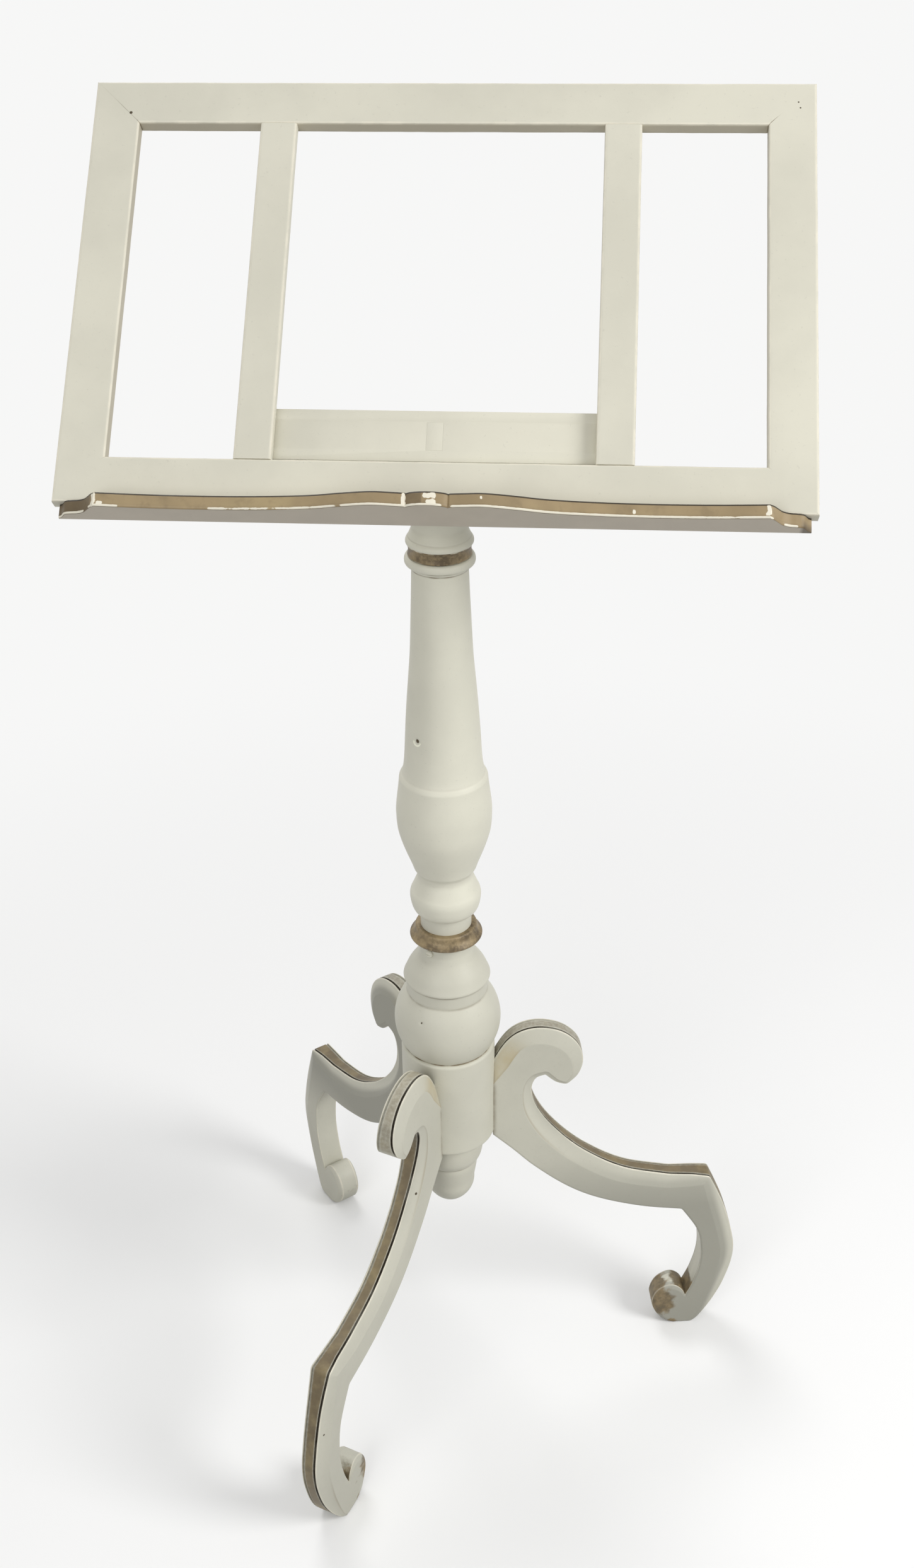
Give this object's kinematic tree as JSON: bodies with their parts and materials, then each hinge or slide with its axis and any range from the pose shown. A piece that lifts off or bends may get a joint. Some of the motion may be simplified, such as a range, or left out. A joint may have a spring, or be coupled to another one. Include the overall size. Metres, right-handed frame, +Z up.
{
  "type": "easel lectern",
  "caption": "Tripod lectern: open tilting book desk with a front ledge on a turned column that lifts and swivels, standing on scrolled legs.",
  "frame": {"origin": "the point on the floor under the column, on its axis", "axes": "+Z up along the column, -Y towards the reader in front of the desk, +X to the right of someone who faces the desk from the front"},
  "size_m": [0.5523, 0.4855, 1.1585],
  "materials": {
    "cream_paint": "wood under matt cream paint, worn along the edges",
    "grey_paint": "turned and sawn wood under satin grey-cream paint",
    "gilding": "wood under dull antique gold paint, chipped to cream",
    "bare_wood": "plain unpainted hardwood",
    "steel": "zinc-plated steel",
    "brass": "dull brass"
  },
  "bodies": {
    "base": {"hub": "grey_paint", "collar_ring": "gilding", "front_leg": "grey_paint", "right_leg": "grey_paint", "back_leg": "grey_paint", "leg_dowels": "bare_wood", "drop_finial": "grey_paint", "lock_bush": "brass"},
    "lock": {"lock_screw": "steel"},
    "column": {"column_shaft": "grey_paint", "lift_pole": "bare_wood", "pole_pin": "steel", "swivel_pin": "steel"},
    "head": {"swivel_ring": "gilding", "head_cup": "grey_paint", "tilt_fork": "grey_paint", "tilt_bolt": "steel", "bolt_washer": "steel"},
    "nut": {"wing_nut": "brass"},
    "desk": {"tilt_tongue": "cream_paint", "cross_batten": "cream_paint", "batten_screws": "steel", "left_slat": "cream_paint", "right_slat": "cream_paint", "left_stile": "cream_paint", "right_stile": "cream_paint", "top_rail": "cream_paint", "bottom_rail": "cream_paint", "corner_keys": "bare_wood", "corner_brads": "steel", "book_ledge": "gilding", "ledge_dowels": "bare_wood"}
  },
  "joints": [
    {"name": "height_slide", "type": "slide", "parent": "base", "child": "column", "axis": [0, 0, 1], "range_m": [0, 0.12]},
    {"name": "desk_swivel", "type": "hinge", "parent": "column", "child": "head", "pos_m": [0, 0, 0.84812], "axis": [0, 0, 1], "continuous": true},
    {"name": "desk_tilt", "type": "hinge", "parent": "head", "child": "desk", "pos_m": [0, 0, 0.92482], "axis": [1, 0, 0], "range_deg": [-34, 34]},
    {"name": "wing_nut_turn", "type": "hinge", "parent": "head", "child": "nut", "pos_m": [0.028, 0, 0.92482], "axis": [1, 0, 0], "continuous": true},
    {"name": "lock_screw_turn", "type": "hinge", "parent": "base", "child": "lock", "pos_m": [-0.01262, -0.01802, 0.47982], "axis": [-0.5736, -0.8192, 0], "continuous": true}
  ]
}
